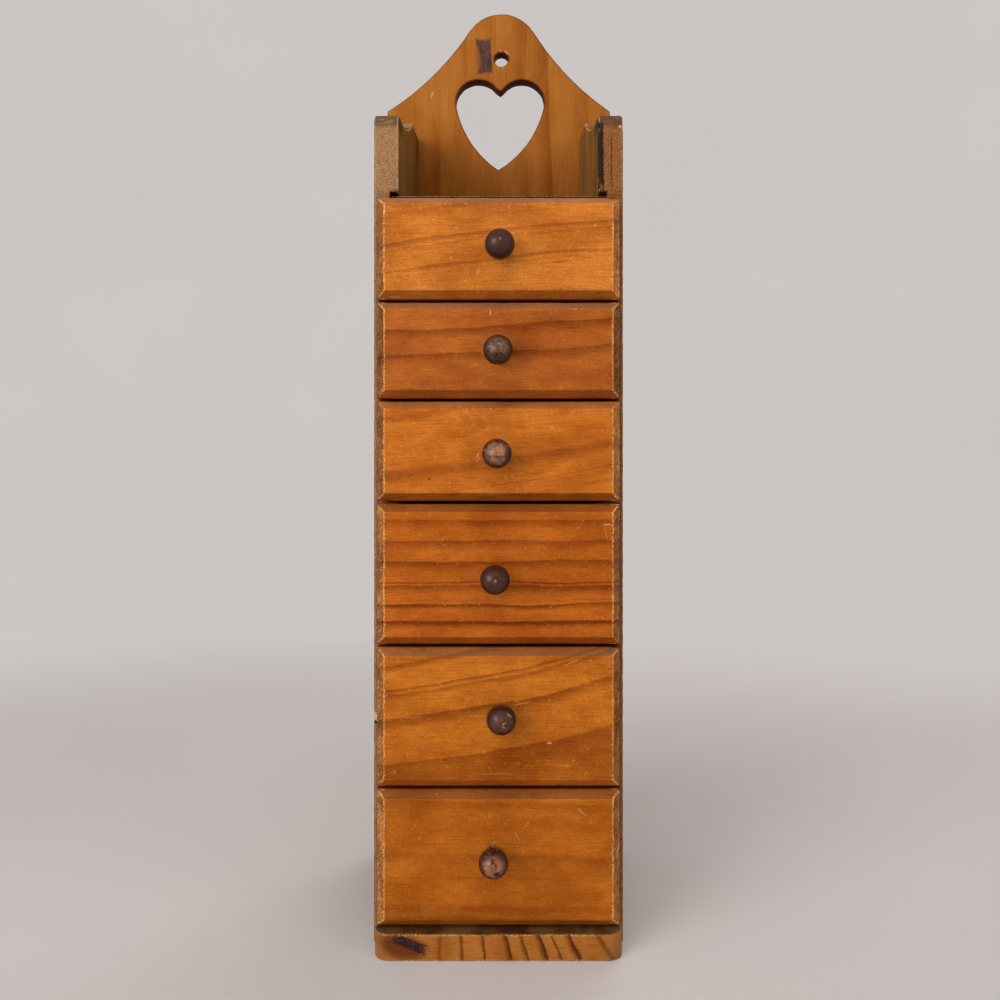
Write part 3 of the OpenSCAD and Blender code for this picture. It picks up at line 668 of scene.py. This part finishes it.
def cut_flats(bm, levels):
    """Cuts a board across at heights in millimetres, through its holes, and joins its other flat faces.

    A flat then has no hole in it, so its inset rim can't cross itself.
    """
    for level in levels:
        parts = bm.verts[:] + bm.edges[:] + bm.faces[:]
        height = (0, 0, level * MM)
        made = bmesh.ops.bisect_plane(bm, geom=parts, dist=1e-6, plane_co=height, plane_no=(0, 0, 1))
        for part in made["geom_cut"]:
            if isinstance(part, bmesh.types.BMEdge):
                part.seam = True
    bmesh.ops.dissolve_limit(bm, angle_limit=FLAT_ANGLE, verts=bm.verts, edges=bm.edges, delimit={"SEAM"})
    bmesh.ops.remove_doubles(bm, verts=bm.verts, dist=SHORT_EDGE * MM)
    for edge in bm.edges:
        edge.seam = False


def sharp_edges(bm):
    return [e for e in bm.edges if e.is_manifold and e.calc_face_angle() > SHARP_ANGLE]


def piece_from(bm, name, body, replaced, material):
    """Turns a bmesh into a piece that rides on a body and stands for a node."""
    mesh = bpy.data.meshes.new(name)
    bm.to_mesh(mesh)
    bm.free()
    mesh.materials.append(material)
    piece = bpy.data.objects.new(name, mesh)
    bpy.context.scene.collection.objects.link(piece)
    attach(piece, body)
    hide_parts(replaced)
    return piece


def row_across(edge, faces, seen):
    """The edges side by side with an edge, across those four-sided faces, as (edge, start vertex).

    The row ends at an edge that was seen before, and its own edges count as seen from then on.
    """
    row = [(edge, edge.verts[0])]
    seen.add(edge)
    face = next((f for f in edge.link_faces if f in faces), None)
    while face and len(face.verts) == 4:
        last, start = row[-1]
        far = next(e for e in face.edges if not set(e.verts) & set(last.verts))
        if far in seen:
            break
        seen.add(far)
        beside = {v for e in face.edges if start in e.verts for v in e.verts}
        near = next(v for v in far.verts if v in beside)
        row.append((far, near))
        face = next((f for f in far.link_faces if f in faces and f != face), None)
    return row


def cut_edge(edge, start, cuts):
    """Puts points evenly along an edge and returns them in order."""
    end = edge.other_vert(start)
    points = []
    for left in range(cuts, 0, -1):
        start = bmesh.utils.edge_split(edge, start, 1 / (left + 1))[1]
        points.append(start)
        edge = next(e for e in start.link_edges if end in e.verts)
    return points


def cut_arrises(flats, rims, strips, step):
    """Cuts the arrises and rims round the flats across, into lengths of about step millimetres."""
    seen = set()
    rows = []
    for edge in [e for flat in flats for e in flat.edges]:
        if edge not in seen and any(f in rims for f in edge.link_faces):
            rows.append(row_across(edge, rims | strips, seen))
    for row in rows:
        cuts = min(MOST_CUTS, int(max(edge.calc_length() for edge, start in row) / (step * MM)))
        lines = [cut_edge(edge, start, cuts) for edge, start in row]
        for line, beside in zip(lines, lines[1:]):
            for a, b in zip(line, beside):
                shared = [f for f in a.link_faces if b in f.verts]
                if shared:
                    bmesh.utils.face_split(shared[0], a, b)


def meets_inner_corner(edge):
    """True for the arrises of a housing, which were cut crisp."""
    near = {e for vert in edge.verts for e in vert.link_edges}
    return any(e.is_manifold and not e.is_convex and e.calc_face_angle() > SHARP_ANGLE for e in near)


def is_behind_lip(edge):
    """True for a drawer front's edges at the back of its lip and on its tongue, which the case hides."""
    return all(vert.co[Y] > LIP_BACK * MM for vert in edge.verts)


def fully_worn(place):
    return 1.0


# What a face of a worn board belongs to: the rounded arris, or the rim between it and the flat
ARRIS = 1
RIM = 2

# Lumps of the nicks as (share, size), and the length of a board that has end nicks, in millimetres
LUMPS = ((0.6, 3.2), (0.4, 1.1))
END_REACH = 5


def worn_board(node, body, material, grain, arris=0.45, step=1.6, nick=0.25, end_nick=0.25, rim=1.3,
               marks=None, wear_at=fully_worn, dents=(), scoop=None, crisp=None, levels=()):
    """A board as sawn and used, with rounded and nicked arrises. Lengths are in millimetres.

    arris: radius of the rounded arrises, with a point every step along them.
    nick, end_nick: depth of their nicks along the grain and at its ends.
    rim: width of the worn rim between an arris and the flat beside it.
    marks: names of face attributes, and the tests that set them.
    wear_at: gives the wear of an arris at a place.
    dents: knocks, as (place, radius, depth).
    scoop: gives the depth of the chisel cuts in the end bevels at a place.
    crisp: tells the edges that stay sharp.
    levels: heights of the holes through the board.
    Only the arrises and their rims are nicked, so each flat stays flat.
    """
    bm = merged_copy(node)
    wear = bm.loops.layers.float.new("wear")
    end = bm.faces.layers.float.new("end")
    strip = bm.faces.layers.int.new("strip")
    marked = {bm.faces.layers.float.new(name): test for name, test in (marks or {}).items()}
    plug_nail_holes(bm, NAILS[body])
    cut_flats(bm, levels)
    rounded = [e for e in sharp_edges(bm) if e.is_convex and not (crisp and crisp(e))]
    made = bmesh.ops.bevel(bm, geom=rounded, offset=arris * MM, segments=2, profile=0.5, affect="EDGES",
                           material=-1, clamp_overlap=True, loop_slide=False)
    for face in made["faces"]:
        face[strip] = ARRIS
    flats = [f for f in bm.faces if not f[strip] and 2 * f.calc_area() / f.calc_perimeter() > 2.2 * rim * MM]
    flats = [f for f in flats if not (crisp and all(crisp(edge) for edge in f.edges))]
    rims = bmesh.ops.inset_region(bm, faces=flats, thickness=rim * MM, use_boundary=True,
                                  use_even_offset=True)
    for face in rims["faces"]:
        face[strip] = RIM
    cut_arrises(flats, set(rims["faces"]), set(made["faces"]), step)
    bm.normal_update()
    arris_verts = {v for face in bm.faces if face[strip] == ARRIS for v in face.verts}
    for face in bm.faces:
        face[end] = float(abs(face.normal[grain]) > END_LEAN)
        for layer, test in marked.items():
            face[layer] = float(test(face))
        for loop in face.loops:
            loop[wear] = wear_at(loop.vert.co / MM) if face[strip] and loop.vert in arris_verts else 0
    low, high = corners(bm.verts)
    seed = Vector((len(node) * 1.7, low[Z] / MM, 0))
    for vert in arris_verts:
        at_end = min(vert.co[grain] - low[grain], high[grain] - vert.co[grain]) < END_REACH * MM
        lump = sum(share * noise.noise(vert.co / (size * MM) + seed) for share, size in LUMPS)
        depth = (end_nick if at_end else nick) * max(0, lump + 0.1)
        for place, radius, knock in dents:
            depth += knock * max(0, 1 - ((vert.co / MM - Vector(place)).length / radius) ** 2)
        vert.co -= vert.normal * depth * MM
    if scoop:
        slopes = [f for f in flats if is_bevel(f) and abs(f.normal[grain]) > END_LEAN]
        for face in slopes:
            inward = -face.normal.copy()
            for vert in face.verts:
                vert.co += inward * scoop(vert.co / MM) * MM
        bmesh.ops.triangulate(bm, faces=slopes)
    bm.normal_update()
    for face in bm.faces:
        face.smooth = True
    for edge in bm.edges:
        if edge.is_manifold and not edge.is_convex and edge.calc_face_angle() > SHARP_ANGLE:
            edge.smooth = False
    bm.faces.layers.int.remove(strip)
    return piece_from(bm, node + ".worn", body, node, material)


# Face tests, by the way a face looks

def is_bevel(face):
    """A drawer front's slanted rim looks partly to the front."""
    return 0.3 < -face.normal[Y] < 0.95


def is_rim_side(face):
    """The narrow sides of a drawer front or the back board look up, down, left or right."""
    return abs(face.normal[Y]) < 0.3


def looks_ahead(face):
    return face.normal[Y] < -0.5


def looks_up(face):
    return face.normal[Z] > 0.8


# Wear of the drawer fronts

# Width of a front's bevels, how far an arris reaches from its edge, and a place just ahead of the lip's back
BEVEL_W = 3.5
ARRIS_REACH = 0.8
LIP_BACK = -40


def front_wear(n):
    """Wear of a front's arrises: most at its ends and mitres, least along its lower edge."""
    low, high = (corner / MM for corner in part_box(f"drawer_{n}_front"))

    def wear(place):
        from_end = min(place[X] - low[X], high[X] - place[X])
        if from_end < BEVEL_W + ARRIS_REACH:
            return 0.9 if from_end > ARRIS_REACH else 0.65
        if high[Z] - place[Z] < BEVEL_W + ARRIS_REACH:
            return FRONTS[n].rims[2]
        return 0.42

    return wear


# Chisel scoops in the end bevels: (depth at the left, depth at the right, pitch)
SCOOPS = {
    6: (0.3, 0.6, 11), 5: (0.5, 0.7, 14), 4: (0.15, 0.2, 17),
    3: (0.15, 0.15, 19), 2: (0.5, 0.4, 16), 1: (0.2, 0.2, 15),
}


def end_scoop(n):
    left, right, pitch = SCOOPS[n]

    def depth(place):
        across = (place[Y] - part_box(f"drawer_{n}_front")[0][Y] / MM) * 1.6
        along = (place[Z] + across) / pitch + noise.noise(Vector((n, place[Z] / 30, 0)))
        share = along - math.floor(along)
        return (left if place[X] < 0 else right) * (1 - (2 * share - 1) ** 2)

    return depth


def base_wear(place):
    """Wear of the base's arrises: a little less along the top."""
    return 1.0 if place[Z] < 6 else 0.88


# Knocks on the fronts' and sides' arrises: (place, radius, depth)
FRONT_DENTS = {
    6: [((52.5, -48.2, 342.5), 3, 0.8)],
    5: [((-52.5, -48.2, 253), 2.5, 0.5)],
    2: [((52.5, -48.2, 138), 3, 0.6)],
}
SIDE_DENTS = {
    "left": [((-58, -39.1, 105), 2.4, 1.3), ((-58, -39.1, 235), 1.6, 0.7)],
    "right": [((58, -39.1, 380), 2.2, 0.9)],
}

worn_board("back_board", "case", back_pine(), Z, arris=0.5, rim=0.8,
           marks={"edge": is_rim_side}, levels=(HEART_Z, HANG_HOLE_Z))
SIDE_FINISH = {"left": left_side_pine(), "right": right_side_pine()}
for hand, finish in SIDE_FINISH.items():
    worn_board(f"{hand}_side", "case", finish, Z, arris=0.8, nick=0.3,
               marks={"edge": looks_ahead}, dents=SIDE_DENTS[hand], crisp=meets_inner_corner)
worn_board("base_board", "case", base_pine(), Y, arris=0.6, marks={"top": looks_up},
           wear_at=base_wear)
sheet = hardboard()
for shelf in [f"shelf_{n}" for n in range(1, 6)] + ["top_shelf"]:
    worn_board(shelf, "case", sheet, X, arris=0.25, nick=0.1, rim=0.8,
               marks={"edge": looks_ahead})
lengthwise = box_pine("box_pine_lengthwise", Y)
crosswise = box_pine("box_pine_crosswise", X)
for n in DRAWERS:
    body = f"drawer_{n}"
    knob_axis = sum(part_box(f"{body}_knob"), Vector()) / 2 / MM
    worn_board(f"{body}_front", body, face_pine(n), X, arris=0.35, step=1.1, nick=0.2,
               end_nick=0.45, rim=1.0, marks={"bevel": is_bevel, "edge": is_rim_side}, wear_at=front_wear(n),
               dents=FRONT_DENTS.get(n, ()), scoop=end_scoop(n), crisp=is_behind_lip,
               levels=[knob_axis[Z]])
    for side in ("left", "right"):
        worn_board(f"{body}_{side}", body, lengthwise, Y, arris=0.35, step=2.5, rim=0.8)
    worn_board(f"{body}_back", body, crosswise, X, arris=0.35, step=2.5, rim=0.8)
    worn_board(f"{body}_bottom", body, sheet, X, arris=0.2, step=3, nick=0.1, rim=0.8)


# Turned knobs

def arc(centre, radius, start, end, steps):
    """Points of a round stretch in the (radius, reach) half plane, by angles in degrees."""
    turns = [math.radians(start + (end - start) * i / steps) for i in range(steps + 1)]
    return [(centre[0] + radius * math.cos(t), centre[1] + radius * math.sin(t)) for t in turns]


# Sizes of a knob behind its ball, and of the lathe's mark, in millimetres
KNOB_FOOT_R = 4.5
KNOB_FOOT_T = 1.2
KNOB_FOOT_ARRIS = 0.2
KNOB_NECK_R = 3.5
TENON_R = 2.5
TENON_L = 9
TENON_CHAMFER = 0.4
LATHE_MARK_R = 0.7
LATHE_MARK_DEPTH = 0.35

# Half the turn of a knob's cove, in degrees
COVE_TURN = 40


def knob(n):
    """A turned ball knob on a coved neck and foot, with the lathe's centre mark in its face."""
    low, high = (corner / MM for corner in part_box(f"drawer_{n}_knob"))
    axis = (low + high) / 2
    face = high[Y] - TENON_L
    reach = face - low[Y]
    ball_r = (high[X] - low[X]) / 2
    ball = reach - ball_r
    meet = ball - math.sqrt(ball_r ** 2 - KNOB_FOOT_R ** 2)
    cove_r = (meet - KNOB_FOOT_T) / 2
    profile = [(0, -TENON_L), (TENON_R - TENON_CHAMFER, -TENON_L)]
    profile += [(TENON_R, -TENON_L + TENON_CHAMFER), (TENON_R, 0)]
    profile += [(KNOB_FOOT_R - KNOB_FOOT_ARRIS, 0), (KNOB_FOOT_R, KNOB_FOOT_ARRIS)]
    profile.append((KNOB_FOOT_R, KNOB_FOOT_T - 0.25))
    hollow = KNOB_NECK_R + cove_r
    profile += arc((hollow, KNOB_FOOT_T + cove_r), cove_r, 180 + COVE_TURN, 180 - COVE_TURN, 8)
    first = math.degrees(math.atan2(meet - ball, KNOB_FOOT_R))
    last = math.degrees(math.acos(LATHE_MARK_R / ball_r))
    profile += arc((0, ball), ball_r, first, last, 26)
    profile += [(LATHE_MARK_R * 0.6, reach - 0.25), (0, reach - LATHE_MARK_DEPTH)]
    bm = bmesh.new()
    verts = [bm.verts.new((axis[X] + r, face - y, axis[Z])) for r, y in profile]
    chain = [bm.edges.new(pair) for pair in zip(verts, verts[1:])]
    bmesh.ops.spin(bm, geom=verts + chain, cent=(axis[X], face, axis[Z]), axis=(0, 1, 0), steps=56,
                   angle=math.tau, use_merge=True)
    bmesh.ops.remove_doubles(bm, verts=bm.verts, dist=WELD)
    bmesh.ops.recalc_face_normals(bm, faces=bm.faces)
    bm.normal_update()
    seed = Vector((n * 3.1, 0, 0))
    for vert in bm.verts:
        lump = 0.03 * noise.noise(vert.co / 2.3 + seed)
        lump -= 0.12 * max(0, noise.noise(vert.co / 0.9 + seed) - 0.35)
        vert.co += vert.normal * (lump if vert.co[Y] < face - KNOB_FOOT_T else 0)
        vert.co *= MM
    for part in bm.faces:
        part.smooth = True
    body = f"drawer_{n}"
    return piece_from(bm, f"{body}_knob.turned", body, f"{body}_knob", knob_wood(n))


for n in DRAWERS:
    knob(n)


# Brads

# Height of a nail's head above the wood, in millimetres
NAIL_PROUD = 0.12


def nails(body, node, material):
    """Wire brads with slightly domed heads, which lie just proud of the wood."""
    bm = bmesh.new()
    for low, high in NAILS[body]:
        size = high - low
        axis = max(range(3), key=lambda a: size[a])
        radius = min(size) / 2
        centre = (low + high) / 2
        outward = Vector((0, 0, 0))
        outward[axis] = {X: math.copysign(1, centre[X]), Y: 1, Z: -1}[axis]
        length = size[axis] + NAIL_PROUD * MM
        turn = outward.to_track_quat("Z", "Y").to_matrix().to_4x4()
        place = Matrix.Translation(centre + outward * NAIL_PROUD * MM / 2) @ turn
        made = bmesh.ops.create_cone(bm, cap_ends=True, segments=20, radius1=radius, radius2=radius,
                                     depth=length, matrix=place)
        tip = centre + outward * length / 2
        head = [e for e in {e for v in made["verts"] for e in v.link_edges}
                if all((v.co - tip).dot(outward) > -0.5 * MM for v in e.verts)]
        bmesh.ops.bevel(bm, geom=head, offset=radius * 0.35, segments=3, profile=0.5, affect="EDGES",
                        material=-1)
    for face in bm.faces:
        face.smooth = len(face.verts) == 4
    return piece_from(bm, f"{node}.nails", body, node, material)


steel = brad_steel()
nails("case", "case_brads", steel)
for n in DRAWERS:
    nails(f"drawer_{n}", f"drawer_{n}_brads", steel)


# Stage, light and camera

# Radius of the flat floor and of the cove round it, and height of the wall, in metres
FLOOR_R = 1.1
COVE_R = 0.7
WALL_TOP = 2.2
BACKDROP = (0.61, 0.572, 0.555)


def pale_stage():
    """A pale floor that curves up into a wall all round. Seen directly, the wall is an even pale grey."""
    bm = bmesh.new()
    profile = [(0, 0), (FLOOR_R, 0)] + arc((FLOOR_R, COVE_R), COVE_R, 270, 360, 16)[1:]
    profile.append((FLOOR_R + COVE_R, WALL_TOP))
    verts = [bm.verts.new((r, 0, z)) for r, z in profile]
    chain = [bm.edges.new(pair) for pair in zip(verts, verts[1:])]
    bmesh.ops.spin(bm, geom=verts + chain, cent=(0, 0, 0), axis=(0, 0, 1), steps=96, angle=math.tau,
                   use_merge=True)
    bmesh.ops.remove_doubles(bm, verts=bm.verts, dist=1e-5)
    for face in bm.faces:
        face.smooth = True
    mesh = bpy.data.meshes.new("stage")
    bm.to_mesh(mesh)
    bm.free()
    f = Finish("pale_stage")
    cloudy = f.step(f.noise((400, 400, 400)), 0.3, 0.7)
    colour = f.mix(cloudy, BACKDROP, brighter(BACKDROP, 0.97, 0.97, 0.97))
    material = f.finish(colour, 0.9, Specular_IOR_Level=0.1)
    rays = f.node("LightPath", {}).outputs
    mirrored = f.math("MAXIMUM", rays["Is Glossy Ray"], rays["Is Transmission Ray"])
    seen = f.math("MAXIMUM", rays["Is Camera Ray"], mirrored)
    away = f.node("VectorMath", {0: f.place}, operation="LENGTH").outputs["Value"]
    even = f.product(seen, f.step(away, 0.3, 1.0))
    glow = f.node("Emission", {"Color": colour, "Strength": 1}).outputs[0]
    blend = f.node("MixShader", {0: even, 1: f.shader.outputs[0], 2: glow}).outputs[0]
    f.tree.links.new(blend, f.tree.nodes["Material Output"].inputs["Surface"])
    mesh.materials.append(material)
    floor = bpy.data.objects.new("stage", mesh)
    bpy.context.scene.collection.objects.link(floor)


def lamp(name, place, target, size, power, colour=(1, 1, 1), mirrored=False):
    light = bpy.data.lights.new(name, "AREA")
    light.size = size
    light.energy = power
    light.color = colour
    holder = bpy.data.objects.new(name, light)
    holder.location = place
    holder.rotation_euler = (Vector(target) - Vector(place)).to_track_quat("-Z", "Y").to_euler()
    holder.visible_camera = False
    holder.visible_glossy = mirrored
    bpy.context.scene.collection.objects.link(holder)


pale_stage()
lamp("window", (-1.0, -1.05, 0.5), (0, 0, 0.24), 0.9, 13, (1, 0.99, 0.98), mirrored=True)
lamp("ceiling", (-0.15, -0.6, 1.35), (0, 0, 0.24), 0.9, 8)
lamp("fill", (1.0, -0.8, 0.5), (0, 0, 0.22), 0.9, 3, (0.98, 0.99, 1))
lamp("back", (0.5, 1.0, 0.9), (0, 0, 0.24), 0.9, 6)

world = bpy.data.worlds.new("studio")
world.use_nodes = True
world.node_tree.nodes["Background"].inputs["Color"].default_value = (1, 1, 1, 1)
world.node_tree.nodes["Background"].inputs["Strength"].default_value = 0.3
scene = bpy.context.scene
scene.world = world
scene.view_settings.view_transform = "Standard"

# The camera's distance ahead of the sides in metres, and its place across and height in millimetres
CAMERA_DISTANCE = 0.4
CAMERA_X = 0.7
CAMERA_Z = 205.9
camera = bpy.data.cameras.new("camera")
camera.sensor_width = 36
camera.lens = 30.95
viewer = bpy.data.objects.new("camera", camera)
viewer.location = (CAMERA_X * MM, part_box("left_side")[0][Y] - CAMERA_DISTANCE, CAMERA_Z * MM)
viewer.rotation_euler = (math.pi / 2, 0, 0)
scene.collection.objects.link(viewer)
scene.camera = viewer
